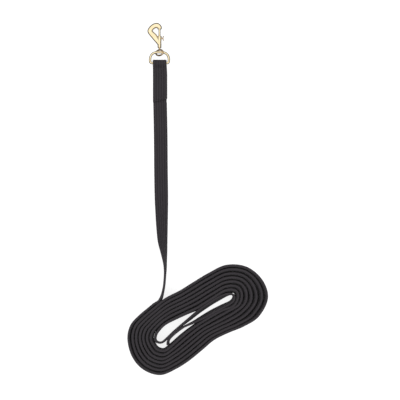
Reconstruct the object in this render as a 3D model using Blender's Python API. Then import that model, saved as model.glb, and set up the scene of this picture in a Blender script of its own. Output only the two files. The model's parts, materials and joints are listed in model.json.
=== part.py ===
"""A long training leash: webbing strap, sewn ring end, D-ring, swivel bolt snap and a wound coil.

The leash lies on z = 0. The strap runs from the D-ring towards -Y, turns on its edge and winds
into a flattened coil that stands on the strap's edge. The snap points towards +Y. The origin is
under the middle of the ring end: the snap, the D-ring and the doubled, sewn end of the strap.
"""

import math

import bmesh
import bpy
from mathutils import Matrix, Vector

# ---- Driving dimensions, in metres ----

STRAP_WIDTH = 0.020
STRAP_THICKNESS = 0.003
GAP = 0.0003  # between pieces that touch on the real leash

# Doubled end of the strap, measured from the D-ring's bar
FOLD_LENGTH = 0.0591  # down to where the lead goes on alone
FLAP_LENGTH = 0.0561  # middle of the front layer's slanted end
FLAP_SLANT = 0.26  # how much the slanted end rises per metre of width
FOLD_TAPER = 0.009  # over which the layers close up below the bar

# D-ring of round wire
RING_WIRE = 0.0036
RING_SIDE_ROOM = 0.0024  # between the strap's edge and the ring's side
RING_REACH = 0.0164  # from the bar's axis to the crown's axis
RING_CORNER = 0.0028
CROWN_FULLNESS = 0.72  # under 1 gives the crown fuller shoulders than a half oval
RING_SHIFT = -0.0004  # of the ring and snap, from the strap's middle

# Swivel eye and its stem
EYE_WIRE = 0.0023
EYE_HALF_LENGTH = 0.0043  # of the wire's axis, along the stem
EYE_HALF_WIDTH = 0.0066  # of the wire's axis, across the stem
EYE_TURN = math.radians(34)  # about the stem, so that the ring's wire passes through
EYE_SLACK = 0.0002  # between the eye's inner crown and the ring's wire, beyond the gap
STEM_RADIUS = 0.0012
STEM_HEAD_RADIUS = 0.00175
STEM_HEAD_HEIGHT = 0.0010

# Snap barrel, bolt, stud and spring; lengths along the snap are from the ring's crown
BARREL_RADIUS = 0.0033  # at the bolt's end
BARREL_LOW_RADIUS = 0.0027  # at the stem's end
BARREL_START = 0.0061
BARREL_LENGTH = 0.0180
BARREL_WALL = 0.0012  # at both ends
BOLT_RADIUS = 0.0015
PISTON_RADIUS = 0.0018  # the bolt's thicker end, inside the barrel
PISTON_LENGTH = 0.0035
BOLT_TRAVEL = 0.0070
STUD_RADIUS = 0.0009
STUD_PLATE_LENGTH = 0.0075
STUD_PLATE_WIDTH = 0.0034
STUD_PLATE_THICKNESS = 0.0013
STUD_PLATE_CURVE = 0.0014  # how far the plate's tips stand out
STUD_REACH = 0.0019  # from the barrel's outside to the middle of the plate
SPRING_WIRE = 0.00045
SPRING_TURNS = 6

# Hook, cast in one with the barrel
HOOK_THICKNESS = 0.0054
HOOK_REACH = 0.0182  # of its back, from the snap's axis
NOSE_START = 0.0349
NOSE_SEAT_DEPTH = 0.0021
HOOK_TOP = 0.0443

# The hook's middle line from the barrel round to the nose: x, y along the snap, and width
HOOK_LINE = [
    (-0.0011, 0.0124, 0.0044),
    (-0.0042, 0.0181, 0.0070),
    (-0.0080, 0.0239, 0.0086),
    (-0.0120, 0.0281, 0.0078),
    (-0.0144, 0.0321, 0.0074),
    (-0.0121, 0.0364, 0.0072),
    (-0.0079, 0.0397, 0.0073),
    (-0.0036, 0.0405, 0.0075),
    (-0.0004, 0.0382, 0.0069),
    (0.0001, NOSE_START, 0.0064),
]

# ---- The strap's way from the ring end to the hand loop ----
# x is from the strap's axis at the ring, y from the end of the fold. The roll turns the strap
# from flat, 0 degrees, to its edge, 90 degrees.

LEAD_ROUTE = [
    (0.0006, -0.0003, 0),
    (0.0013, -0.0486, 0),
    (0.0017, -0.0982, 0),
    (0.0022, -0.1313, 5),
    (0.0028, -0.1584, 23),
    (0.0034, -0.1824, 36),
    (0.0044, -0.2065, 50),
    (0.0062, -0.2215, 65),
    (0.0078, -0.2366, 79),
    (0.0085, -0.2486, 86),
    (0.0080, -0.2607, 90),
    (0.0070, -0.2727, 90),
    (0.0058, -0.2800, 90),
    (0.0043, -0.2868, 90),
    (0.0023, -0.2930, 90),
    (-0.0006, -0.2982, 90),
]

# Stations round the coil, clockwise from the left end: the middle of the innermost pass of the
# strap, then of the outermost one
COIL_INNER = [
    (-0.0065, -0.3539),
    (-0.0053, -0.3474),
    (-0.0020, -0.3419),
    (0.0068, -0.3326),
    (0.0195, -0.3253),
    (0.0408, -0.3152),
    (0.0577, -0.3077),
    (0.0809, -0.2934),
    (0.0990, -0.2830),
    (0.1123, -0.2829),
    (0.1154, -0.2907),
    (0.1088, -0.3026),
    (0.0938, -0.3083),
    (0.0795, -0.3162),
    (0.0667, -0.3247),
    (0.0545, -0.3331),
    (0.0419, -0.3423),
    (0.0299, -0.3521),
    (0.0186, -0.3622),
    (0.0073, -0.3706),
    (-0.0029, -0.3685),
    (-0.0082, -0.3619),
]
COIL_OUTER = [
    (-0.0446, -0.3540),
    (-0.0408, -0.3347),
    (-0.0296, -0.3214),
    (-0.0133, -0.3076),
    (0.0092, -0.2958),
    (0.0318, -0.2841),
    (0.0514, -0.2722),
    (0.0747, -0.2582),
    (0.1005, -0.2465),
    (0.1288, -0.2491),
    (0.1500, -0.2668),
    (0.1578, -0.2918),
    (0.1454, -0.3172),
    (0.1243, -0.3316),
    (0.1029, -0.3411),
    (0.0809, -0.3524),
    (0.0631, -0.3671),
    (0.0439, -0.3828),
    (0.0234, -0.3959),
    (0.0007, -0.4047),
    (-0.0225, -0.3969),
    (-0.0381, -0.3787),
]
COIL_TURNS = 7.15
COIL_STEPS = 66  # solid's corners in one turn

# From the coil's inner start, round the hand loop and back to the strap's cut end
LOOP_ROUTE = [
    (-0.0062, -0.3563),
    (-0.0046, -0.3589),
    (-0.0015, -0.3605),
    (0.0024, -0.3607),
    (0.0066, -0.3586),
    (0.0123, -0.3531),
    (0.0213, -0.3444),
    (0.0333, -0.3350),
    (0.0453, -0.3264),
    (0.0596, -0.3155),
    (0.0769, -0.3037),
    (0.0905, -0.2957),
    (0.1020, -0.2893),
    (0.1085, -0.2879),
    (0.1105, -0.2920),
    (0.1060, -0.2984),
    (0.0935, -0.3044),
    (0.0784, -0.3119),
    (0.0649, -0.3199),
    (0.0484, -0.3298),
    (0.0363, -0.3380),
    (0.0243, -0.3470),
    (0.0170, -0.3536),
    (0.0138, -0.3577),
    (0.0134, -0.3620),
]

# Sewn tacks
TACK_THICKNESS = 0.0004
RING_TACK_LENGTH = 0.012
RING_TACK_START = 0.0100  # below the bar, past the taper
END_TACK_LENGTH = 0.0045
TACK_MARGIN = 0.0025  # from the strap's edges
LOOP_TACK_LENGTH = 0.018  # of the two blocks of stitches together
LOOP_TACK_AT = 6  # the stretch of the loop's way that it lies on

# ---- What follows from them ----

RING_RADIUS = RING_WIRE / 2
BAR_HEIGHT = STRAP_THICKNESS + GAP + RING_RADIUS
RING_HALF_WIDTH = STRAP_WIDTH / 2 + RING_SIDE_ROOM + RING_RADIUS
WRAP_RADIUS = RING_RADIUS + GAP + STRAP_THICKNESS / 2
FLAP_HEIGHT = 1.5 * STRAP_THICKNESS + GAP
EYE_RADIUS = EYE_WIRE / 2
EYE_CENTRE = RING_RADIUS + GAP + EYE_SLACK + EYE_RADIUS - EYE_HALF_LENGTH
BARREL_END = BARREL_START + BARREL_LENGTH
BORE_START = BARREL_START + BARREL_WALL
BORE_END = BARREL_END - BARREL_WALL
BORE_RADIUS = PISTON_RADIUS + GAP
PISTON_END = BORE_END - GAP
PISTON_START = PISTON_END - PISTON_LENGTH
STUD_HEIGHT = (PISTON_START + PISTON_END) / 2
HEAD_START = BORE_START + GAP
HEAD_END = HEAD_START + STEM_HEAD_HEIGHT
# The snap leans down until its hook rests on the surface
DROOP = math.asin((BAR_HEIGHT - HOOK_THICKNESS / 2 - 0.0001) / (HOOK_TOP - 0.004))
# The ring end's box is centred over the origin
AXIS_X = (HOOK_REACH - RING_HALF_WIDTH - RING_RADIUS) / 2 - RING_SHIFT
BAR_Y = (FOLD_LENGTH - RING_REACH - HOOK_TOP * math.cos(DROOP)) / 2
SPRING_RADIUS = PISTON_RADIUS - SPRING_WIRE / 2

# ---- Helpers ----


def clear_scene():
    for obj in list(bpy.data.objects):
        bpy.data.objects.remove(obj, do_unlink=True)


def make_material(name, colour, roughness, metallic=0.0):
    material = bpy.data.materials.new(name)
    material.use_nodes = True
    shader = material.node_tree.nodes["Principled BSDF"]
    shader.inputs["Base Color"].default_value = (*colour, 1.0)
    shader.inputs["Roughness"].default_value = roughness
    shader.inputs["Metallic"].default_value = metallic
    return material


def make_empty(name, parent=None, location=(0, 0, 0), rotation=(0, 0, 0)):
    empty = bpy.data.objects.new(name, None)
    empty.parent = parent
    empty.location = location
    empty.rotation_euler = rotation
    bpy.context.scene.collection.objects.link(empty)
    return empty


def add_object(name, bm, material=None, parent=None, location=(0, 0, 0), rotation=(0, 0, 0)):
    """Makes an object of a bmesh that is given in the object's own axes."""
    bmesh.ops.recalc_face_normals(bm, faces=bm.faces)
    mesh = bpy.data.meshes.new(name)
    bm.to_mesh(mesh)
    bm.free()
    mesh.shade_smooth()
    mesh.set_sharp_from_angle(angle=math.radians(35))
    if material:
        mesh.materials.append(material)
    obj = bpy.data.objects.new(name, mesh)
    obj.parent = parent
    obj.location = location
    obj.rotation_euler = rotation
    bpy.context.scene.collection.objects.link(obj)
    return obj


def combine(target, tool, operation):
    """Adds a Boolean with a hidden tool object."""
    tool.hide_render = True
    tool.display_type = "WIRE"
    modifier = target.modifiers.new(f"{operation.lower()} {tool.name}", "BOOLEAN")
    modifier.operation = operation
    modifier.object = tool
    modifier.solver = "EXACT"


def cylinder_along_y(bm, radius, start, end, sides=20):
    """A cylinder on the Y axis; the sides' corners lie on the radius."""
    turn = Matrix.Rotation(-math.pi / 2, 4, "X")
    place = Matrix.Translation((0, (start + end) / 2, 0)) @ turn
    bmesh.ops.create_cone(
        bm,
        cap_ends=True,
        segments=sides,
        radius1=radius,
        radius2=radius,
        depth=end - start,
        matrix=place,
    )


def turned_along_y(profile, sides=20):
    """A solid turned about the Y axis, from its outline as (radius, y) points."""
    bm = bmesh.new()
    points = [bm.verts.new((radius, y, 0)) for radius, y in profile]
    edges = [bm.edges.new(pair) for pair in zip(points, points[1:])]
    bmesh.ops.spin(
        bm,
        geom=points + edges,
        cent=(0, 0, 0),
        axis=(0, 1, 0),
        angle=2 * math.pi,
        steps=sides,
        use_merge=True,
    )
    bmesh.ops.remove_doubles(bm, verts=bm.verts, dist=1e-6)
    return bm


def curve_point(points, at):
    """A point of the smooth curve through the points, where at counts them from 0."""
    first = min(max(int(math.floor(at)), 0), len(points) - 2)
    t = at - first
    b, c = points[first], points[first + 1]
    a = points[first - 1] if first > 0 else 2 * b - c
    d = points[first + 2] if first + 2 < len(points) else 2 * c - b
    return 0.5 * (
        2 * b + (c - a) * t + (2 * a - 5 * b + 4 * c - d) * t**2 + (3 * b - a - 3 * c + d) * t**3
    )


def curve_through(points, step):
    """Points about a step apart on the smooth curve through the given ones, ends included."""
    fine = [curve_point(points, i / 16) for i in range(16 * (len(points) - 1) + 1)]
    along = [0.0]
    for a, b in zip(fine, fine[1:]):
        along.append(along[-1] + (b - a).length)
    count = max(2, round(along[-1] / step))
    found, at = [], 0
    for i in range(count + 1):
        wanted = along[-1] * i / count
        while at < len(fine) - 2 and along[at + 1] < wanted:
            at += 1
        share = (wanted - along[at]) / (along[at + 1] - along[at])
        found.append(fine[at].lerp(fine[at + 1], share))
    return found


def sweep(stations, closed=False):
    """A solid whose rings of corners are given one after another, with flat ends."""
    bm = bmesh.new()
    rings = [[bm.verts.new(corner) for corner in ring] for ring in stations]
    pairs = list(zip(rings, rings[1:]))
    if closed:
        pairs.append((rings[-1], rings[0]))
    for ring, following in pairs:
        for i, corner in enumerate(ring):
            j = (i + 1) % len(ring)
            bm.faces.new((corner, ring[j], following[j], following[i]))
    if not closed:
        bm.faces.new(rings[0])
        bm.faces.new(reversed(rings[-1]))
    return bm


def round_ring(centre, across, up, radius_across, radius_up, sides, fullness=1.0):
    """The corners of an oval in the plane of two directions; a fullness under 1 squares it."""
    ring = []
    for i in range(sides):
        angle = 2 * math.pi * i / sides
        c, s = math.cos(angle), math.sin(angle)
        x = math.copysign(abs(c) ** fullness, c)
        z = math.copysign(abs(s) ** fullness, s)
        ring.append(centre + across * (radius_across * x) + up * (radius_up * z))
    return ring


def strap_ring(centre, side, roll):
    """The four corners of the strap's section; side is level and square to the strap."""
    lift = Vector((0, 0, 1))
    wide = side * math.cos(roll) + lift * math.sin(roll)
    thick = lift * math.cos(roll) - side * math.sin(roll)
    corners = [(-1, -1), (1, -1), (1, 1), (-1, 1)]
    return [
        centre + wide * (STRAP_WIDTH / 2 * w) + thick * (STRAP_THICKNESS / 2 * t)
        for w, t in corners
    ]


def level_sides(line):
    """A level direction square to the line, for each of its points."""
    sides = []
    for i in range(len(line)):
        ahead = line[min(i + 1, len(line) - 1)] - line[max(i - 1, 0)]
        sides.append(Vector((-ahead.y, ahead.x, 0)).normalized())
    return sides


# ---- The coil's line ----


def closed_point(points, turn):
    """A point of the smooth closed curve through the stations, at a share of a turn."""
    at = (turn % 1.0) * len(points)
    first = int(at)
    near = [points[(first + i) % len(points)] for i in (-1, 0, 1, 2)]
    return curve_point(near, 1 + at - first)


def coil_limits():
    """The closed curves that the spiral starts and ends on, from the two visible passes."""
    inner, outer = [], []
    for i, (first, last) in enumerate(zip(COIL_INNER, COIL_OUTER)):
        share = i / len(COIL_INNER)
        whole_turns = math.floor(COIL_TURNS - share)
        pitch = (Vector(last) - Vector(first)) / whole_turns
        inner.append(Vector(first) - pitch * share)
        outer.append(Vector(first) + pitch * (COIL_TURNS - share))
    return inner, outer


COIL_LIMITS = coil_limits()


def coil_point(turns):
    """The middle of the strap after so many turns from the coil's inner start."""
    inner, outer = (closed_point(limit, turns) for limit in COIL_LIMITS)
    return inner.lerp(outer, turns / COIL_TURNS)


def coil_side_point(turns, offset):
    """A point beside the strap's middle, outwards if the offset is positive."""
    ahead = coil_point(turns + 0.002) - coil_point(turns - 0.002)
    outwards = Vector((-ahead.y, ahead.x)).normalized()
    return coil_point(turns) + outwards * offset


# ---- The pieces ----


def make_ring_fold(parent, material):
    """The doubled end: the back layer, the wrap round the ring's bar and the front layer."""
    half = STRAP_THICKNESS / 2
    line = [Vector((0, -FOLD_LENGTH, half)), Vector((0, -FOLD_LENGTH / 2, half))]
    line.append(Vector((0, -WRAP_RADIUS, half)))
    for i in range(13):
        angle = -math.pi / 2 + math.pi * i / 12
        y, z = WRAP_RADIUS * math.cos(angle), WRAP_RADIUS * math.sin(angle)
        line.append(Vector((0, y, BAR_HEIGHT + z)))
    top = BAR_HEIGHT + WRAP_RADIUS
    for i in range(1, 9):
        share = i / 8
        ease = share * share * (3 - 2 * share)
        line.append(Vector((0, -FOLD_TAPER * share, top + (FLAP_HEIGHT - top) * ease)))
    line.append(Vector((0, -FLAP_LENGTH, FLAP_HEIGHT)))
    rings = []
    for i, point in enumerate(line):
        ahead = line[min(i + 1, len(line) - 1)] - line[max(i - 1, 0)]
        normal = Vector((0, -ahead.z, ahead.y)).normalized() * half
        ring = []
        for across, side in ((-1, -1), (1, -1), (1, 1), (-1, 1)):
            corner = point + normal * side
            corner.x = across * STRAP_WIDTH / 2
            ring.append(corner)
        rings.append(ring)
    for corner in rings[-1]:
        corner.y += FLAP_SLANT * corner.x
    return add_object("ring_fold", sweep(rings), material, parent)


def make_lead(parent, material):
    """The uncoiled strap: flat at the fold, then rolled on its edge, up to the coil."""
    ahead = coil_point(COIL_TURNS) - coil_point(COIL_TURNS - 0.002)
    end = coil_point(COIL_TURNS) + ahead.normalized() * GAP
    keys = [Vector(key) for key in LEAD_ROUTE] + [Vector((end.x, end.y, 90))]
    # Start square to the fold, and end square to the coil's end face
    keys = [keys[0] + Vector((0, 0.02, 0))] + keys
    keys.append(keys[-1] - Vector((ahead.x, ahead.y, 0)).normalized() * 0.005)
    line, rolls = [], []
    pieces = len(keys) - 3
    for piece in range(pieces):
        length = (keys[piece + 2].xy - keys[piece + 1].xy).length
        count = max(1, round(length / 0.005))
        for i in range(count):
            key = curve_point(keys, 1 + piece + i / count)
            line.append(Vector((key.x, key.y, 0)))
            rolls.append(math.radians(min(90, max(0, key.z))))
    line.append(Vector((end.x, end.y, 0)))
    rolls.append(math.pi / 2)
    sides = level_sides(line)
    sides[0] = Vector((1, 0, 0))
    sides[-1] = Vector((ahead.y, -ahead.x, 0)).normalized()
    rings = []
    for point, side, roll in zip(line, sides, rolls):
        side = side if side.x > 0 or roll > 1 else -side
        height = (STRAP_WIDTH * math.sin(roll) + STRAP_THICKNESS * math.cos(roll)) / 2
        centre = Vector((point.x, point.y, height))
        # The right edge stays down and the left edge rises
        rings.append(strap_ring(centre, side, -roll))
    return add_object("webbing_lead", sweep(rings), material, parent)


def make_coil(parent, material):
    """The coil's outer shape: one ring of the strap's height with its stepped ends."""
    half = STRAP_THICKNESS / 2
    bm = bmesh.new()
    for start, offset in ((COIL_TURNS - 1, half), (0.0, -half)):
        corners = []
        for i in range(COIL_STEPS + 1):
            point = coil_side_point(start + i / COIL_STEPS, offset)
            corners.append(bm.verts.new((point.x, point.y, 0)))
        for i, corner in enumerate(corners):
            bm.edges.new((corner, corners[(i + 1) % len(corners)]))
    bmesh.ops.triangle_fill(bm, edges=bm.edges, use_beauty=True)
    grown = bmesh.ops.extrude_face_region(bm, geom=bm.faces[:])
    raised = [v for v in grown["geom"] if isinstance(v, bmesh.types.BMVert)]
    bmesh.ops.translate(bm, verts=raised, vec=(0, 0, STRAP_WIDTH))
    return add_object("webbing_coil", bm, material, parent)


def make_hand_loop(parent, material):
    """The strap's inner end: it leaves the coil, runs round the loop and lies back on itself."""
    ahead = (coil_point(0.002) - coil_point(0)).normalized()
    start = coil_point(0) - ahead * GAP
    line = curve_through([start] + [Vector(p) for p in LOOP_ROUTE], 0.004)
    sides = level_sides([p.to_3d() for p in line])
    # The first end is square to the coil's end face
    sides[0] = Vector((ahead.y, -ahead.x, 0))
    middle = Vector((0, 0, STRAP_WIDTH / 2))
    rings = [strap_ring(p.to_3d() + middle, s, math.pi / 2) for p, s in zip(line, sides)]
    return add_object("hand_loop", sweep(rings), material, parent)


def make_flat_tack(name, parent, material, start, length, slant):
    """The thread of a tack on the fold's front layer, as one thin pad."""
    half = STRAP_WIDTH / 2 - TACK_MARGIN
    low = FLAP_HEIGHT + STRAP_THICKNESS / 2 + GAP
    corners = [(-half, -start), (half, -start), (half, -start - length), (-half, -start - length)]
    rings = []
    for z in (low, low + TACK_THICKNESS):
        rings.append([Vector((x, y + slant * x, z)) for x, y in corners])
    return add_object(name, sweep(rings), material, parent)


def make_loop_tack(parent, material):
    """The thread of the hand loop's tack, on the face that looks into the coil's hollow."""
    a, b = Vector(LOOP_ROUTE[LOOP_TACK_AT]), Vector(LOOP_ROUTE[LOOP_TACK_AT + 1])
    ahead = (b - a).normalized()
    outwards = Vector((-ahead.y, ahead.x))
    middle = (a + b) / 2 + outwards * (STRAP_THICKNESS / 2 + GAP + TACK_THICKNESS / 2)
    bm = bmesh.new()
    bmesh.ops.create_cube(bm, size=1)
    size = (LOOP_TACK_LENGTH * 0.7, TACK_THICKNESS, STRAP_WIDTH - 2 * TACK_MARGIN)
    bmesh.ops.scale(bm, vec=size, verts=bm.verts)
    location = (middle.x, middle.y, STRAP_WIDTH / 2)
    turn = (0, 0, math.atan2(ahead.y, ahead.x))
    return add_object("hand_loop_tack", bm, material, parent, location, turn)


def make_d_ring(parent, material):
    """Round wire bent to a D: a straight bar, two round corners and a half-circle crown."""
    half, corner = RING_HALF_WIDTH, RING_CORNER
    line = []
    for i in range(5):
        line.append(Vector((-half + corner + (half - corner) * 2 * i / 5, 0, 0)))
    for i in range(5):
        angle = -math.pi / 2 + math.pi / 2 * i / 4
        x, y = half - corner + corner * math.cos(angle), corner + corner * math.sin(angle)
        line.append(Vector((x, y, 0)))
    for i in range(33):
        c, s = math.cos(math.pi * i / 32), max(0, math.sin(math.pi * i / 32))
        x = math.copysign(abs(c) ** CROWN_FULLNESS, c)
        line.append(Vector((half * x, corner + (RING_REACH - corner) * s**CROWN_FULLNESS, 0)))
    for i in range(4):
        angle = math.pi + math.pi / 2 * i / 4
        x, y = -half + corner + corner * math.cos(angle), corner + corner * math.sin(angle)
        line.append(Vector((x, y, 0)))
    cleaned = [p for i, p in enumerate(line) if (p - line[i - 1]).length > 1e-4]
    rings = []
    for i, point in enumerate(cleaned):
        ahead = cleaned[(i + 1) % len(cleaned)] - cleaned[i - 1]
        across = Vector((ahead.y, -ahead.x, 0)).normalized()
        lift = Vector((0, 0, 1))
        rings.append(round_ring(point, across, lift, RING_RADIUS, RING_RADIUS, 12))
    return add_object("d_ring", sweep(rings, closed=True), material, parent)


def make_swivel_eye(parent, material):
    """An oval eye with a stem, whose peened head turns inside the barrel."""
    turn = Matrix.Rotation(-EYE_TURN, 3, "Y")
    rings = []
    for i in range(28):
        angle = 2 * math.pi * i / 28
        outwards = Vector((math.cos(angle), math.sin(angle), 0))
        oval = Vector((EYE_HALF_WIDTH * outwards.x, EYE_HALF_LENGTH * outwards.y, 0))
        facing = Vector((outwards.x / EYE_HALF_WIDTH, outwards.y / EYE_HALF_LENGTH, 0))
        centre = turn @ oval + Vector((0, EYE_CENTRE, 0))
        across, lift = turn @ facing.normalized(), turn @ Vector((0, 0, 1))
        rings.append(round_ring(centre, across, lift, EYE_RADIUS, EYE_RADIUS, 12))
    eye = add_object("swivel_eye", sweep(rings, closed=True), material, parent)
    root = EYE_CENTRE + EYE_HALF_LENGTH
    profile = [
        (0, root - EYE_RADIUS * 0.4),
        (STEM_RADIUS, root - EYE_RADIUS * 0.4),
        (STEM_RADIUS, HEAD_START),
        (STEM_HEAD_RADIUS, HEAD_START),
        (STEM_HEAD_RADIUS, HEAD_END - 0.0004),
        (STEM_HEAD_RADIUS * 0.7, HEAD_END),
        (0, HEAD_END),
    ]
    stem = add_object("eye_stem", turned_along_y(profile, 16), None, parent)
    combine(eye, stem, "UNION")
    return eye


def hook_rings():
    """Oval sections along the hook's middle line, from the barrel to the nose."""
    keys = [Vector(key) for key in HOOK_LINE]
    # The nose ends square to the bolt
    keys.append(keys[-1] + Vector((0, -0.003, 0)))
    count = 5 * (len(HOOK_LINE) - 1)
    line = [curve_point(keys, i / 5) for i in range(count + 1)]
    rings = []
    for i, key in enumerate(line):
        ahead = line[min(i + 1, count)].xy - line[max(i - 1, 0)].xy
        if i == count:
            ahead = Vector((0, -1))
        across = Vector((ahead.y, -ahead.x, 0)).normalized()
        centre = Vector((key.x, key.y, 0))
        lift = Vector((0, 0, 1))
        rings.append(round_ring(centre, across, lift, key.z / 2, HOOK_THICKNESS / 2, 16, 0.8))
    return rings


def make_snap_body(parent, material):
    """The barrel with its bore, slot and end holes, and the hook with the bolt's seat."""
    barrel = [
        (0, BARREL_START),
        (BARREL_LOW_RADIUS - 0.0005, BARREL_START),
        (BARREL_LOW_RADIUS, BARREL_START + 0.0005),
        (BARREL_RADIUS, BARREL_END - 0.0004),
        (BARREL_RADIUS - 0.0004, BARREL_END),
        (0, BARREL_END),
    ]
    body = add_object("snap_body", turned_along_y(barrel, 24), material, parent)
    combine(body, add_object("hook_form", sweep(hook_rings()), None, parent), "UNION")

    bore = [
        (0, BARREL_START - 0.001),
        (STEM_RADIUS + GAP, BARREL_START - 0.001),
        (STEM_RADIUS + GAP, BORE_START),
        (BORE_RADIUS, BORE_START),
        (BORE_RADIUS, BORE_END),
        (BOLT_RADIUS + GAP, BORE_END),
        (BOLT_RADIUS + GAP, NOSE_START + NOSE_SEAT_DEPTH),
        (0, NOSE_START + NOSE_SEAT_DEPTH),
    ]
    combine(body, add_object("bore_cutter", turned_along_y(bore), None, parent), "DIFFERENCE")

    slot = bmesh.new()
    bmesh.ops.create_cube(slot, size=1)
    room = STUD_RADIUS + GAP
    low, high = STUD_HEIGHT - BOLT_TRAVEL - room, STUD_HEIGHT + room
    bmesh.ops.scale(slot, vec=(2 * BARREL_RADIUS, high - low, 2 * room), verts=slot.verts)
    bmesh.ops.translate(slot, vec=(BARREL_RADIUS, (low + high) / 2, 0), verts=slot.verts)
    combine(body, add_object("slot_cutter", slot, None, parent), "DIFFERENCE")
    return body


def make_bolt(parent, material):
    """The bolt: a rod that closes the hook and a thicker piston with the stud's hole."""
    tip = NOSE_START + NOSE_SEAT_DEPTH - GAP - 0.0001
    profile = [
        (0, PISTON_START),
        (PISTON_RADIUS - 0.0002, PISTON_START),
        (PISTON_RADIUS, PISTON_START + 0.0002),
        (PISTON_RADIUS, PISTON_END),
        (BOLT_RADIUS, PISTON_END),
        (BOLT_RADIUS, tip - 0.0004),
        (BOLT_RADIUS - 0.0004, tip),
        (0, tip),
    ]
    bolt = add_object("bolt", turned_along_y(profile), material, parent)
    hole = bmesh.new()
    radius = STUD_RADIUS + GAP
    place = Matrix.Translation((PISTON_RADIUS + 0.0004, STUD_HEIGHT, 0))
    place = place @ Matrix.Rotation(math.pi / 2, 4, "Y")
    bmesh.ops.create_cone(
        hole,
        cap_ends=True,
        segments=12,
        radius1=radius,
        radius2=radius,
        depth=2 * (PISTON_RADIUS - 0.0002),
        matrix=place,
    )
    combine(bolt, add_object("stud_hole_cutter", hole, None, parent), "DIFFERENCE")
    return bolt


def make_thumb_stud(parent, material):
    """A stem through the barrel's slot and a saddle-shaped plate for the thumb."""
    seat = BARREL_RADIUS + STUD_REACH
    steps = 8
    rings = []
    for i in range(steps + 1):
        share = 2 * i / steps - 1
        centre = Vector((seat + STUD_PLATE_CURVE * share**2, share * STUD_PLATE_LENGTH / 2, 0))
        slope = Vector((2 * STUD_PLATE_CURVE * share, STUD_PLATE_LENGTH / 2, 0)).normalized()
        across = Vector((slope.y, -slope.x, 0))
        thin = 1 - 0.35 * abs(share) ** 3
        half_thick, half_wide = STUD_PLATE_THICKNESS / 2 * thin, STUD_PLATE_WIDTH / 2 * thin
        rings.append(round_ring(centre, across, Vector((0, 0, 1)), half_thick, half_wide, 12, 0.7))
    plate = add_object("thumb_stud", sweep(rings), material, parent, (0, STUD_HEIGHT, 0))
    stem = bmesh.new()
    start, end = 0.0008, seat
    place = Matrix.Translation(((start + end) / 2, 0, 0)) @ Matrix.Rotation(math.pi / 2, 4, "Y")
    bmesh.ops.create_cone(
        stem,
        cap_ends=True,
        segments=12,
        radius1=STUD_RADIUS,
        radius2=STUD_RADIUS,
        depth=end - start,
        matrix=place,
    )
    combine(plate, add_object("stud_stem", stem, None, parent, (0, STUD_HEIGHT, 0)), "UNION")
    return plate


def make_spring(parent, material):
    """The helical spring between the stem's head and the piston."""
    low = HEAD_END + GAP + SPRING_WIRE / 2
    high = PISTON_START - GAP - SPRING_WIRE / 2
    steps = 12 * SPRING_TURNS
    slope = (high - low) / (2 * math.pi * SPRING_TURNS)
    rings = []
    for i in range(steps + 1):
        angle = 2 * math.pi * i / 12
        outwards = Vector((math.cos(angle), 0, math.sin(angle)))
        ahead = Vector((-math.sin(angle), slope / SPRING_RADIUS, math.cos(angle))).normalized()
        centre = outwards * SPRING_RADIUS + Vector((0, low + slope * angle, 0))
        lift = outwards.cross(ahead)
        rings.append(round_ring(centre, outwards, lift, SPRING_WIRE / 2, SPRING_WIRE / 2, 6))
    return add_object("bolt_spring", sweep(rings), material, parent)


def main():
    clear_scene()
    webbing = make_material("black webbing", (0.045, 0.042, 0.046), 0.85)
    thread = make_material("black thread", (0.060, 0.056, 0.060), 0.75)
    brass = make_material("polished brass", (0.86, 0.66, 0.32), 0.18, 1.0)
    steel = make_material("spring steel", (0.55, 0.55, 0.56), 0.35, 1.0)

    leash = make_empty("leash", None, (AXIS_X, BAR_Y, 0))
    make_ring_fold(leash, webbing)
    start, length = RING_TACK_START, RING_TACK_LENGTH
    make_flat_tack("ring_tack", leash, thread, start, length, 0)
    start, length = FLAP_LENGTH - END_TACK_LENGTH - 0.0012, END_TACK_LENGTH
    make_flat_tack("end_tack", leash, thread, start, length, FLAP_SLANT)

    strap_end = make_empty("strap_end", leash, (0, -FOLD_LENGTH, 0))
    make_lead(strap_end, webbing)
    make_coil(strap_end, webbing)
    make_hand_loop(strap_end, webbing)
    make_loop_tack(strap_end, thread)

    ring_axis = make_empty("ring_axis", leash, (RING_SHIFT, 0, BAR_HEIGHT))
    make_d_ring(ring_axis, brass)
    snap_axis = make_empty("snap_axis", ring_axis, (0, RING_REACH, 0), (-DROOP, 0, 0))
    make_swivel_eye(snap_axis, brass)
    make_snap_body(snap_axis, brass)
    make_bolt(snap_axis, brass)
    make_thumb_stud(snap_axis, brass)
    make_spring(snap_axis, steel)


main()
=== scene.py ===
# %% [markdown]
# # A long training leash
#
# A flat webbing strap is sewn round a D-ring, and a brass bolt snap hangs on the ring. The rest
# of the strap stands on its edge, wound into a flattened coil with a sewn hand loop inside.
# The fixed frame holds the simple solids. This lesson builds what the eye sees round them.

import json
import math

import bmesh
import bpy
from mathutils import Matrix, Vector


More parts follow.
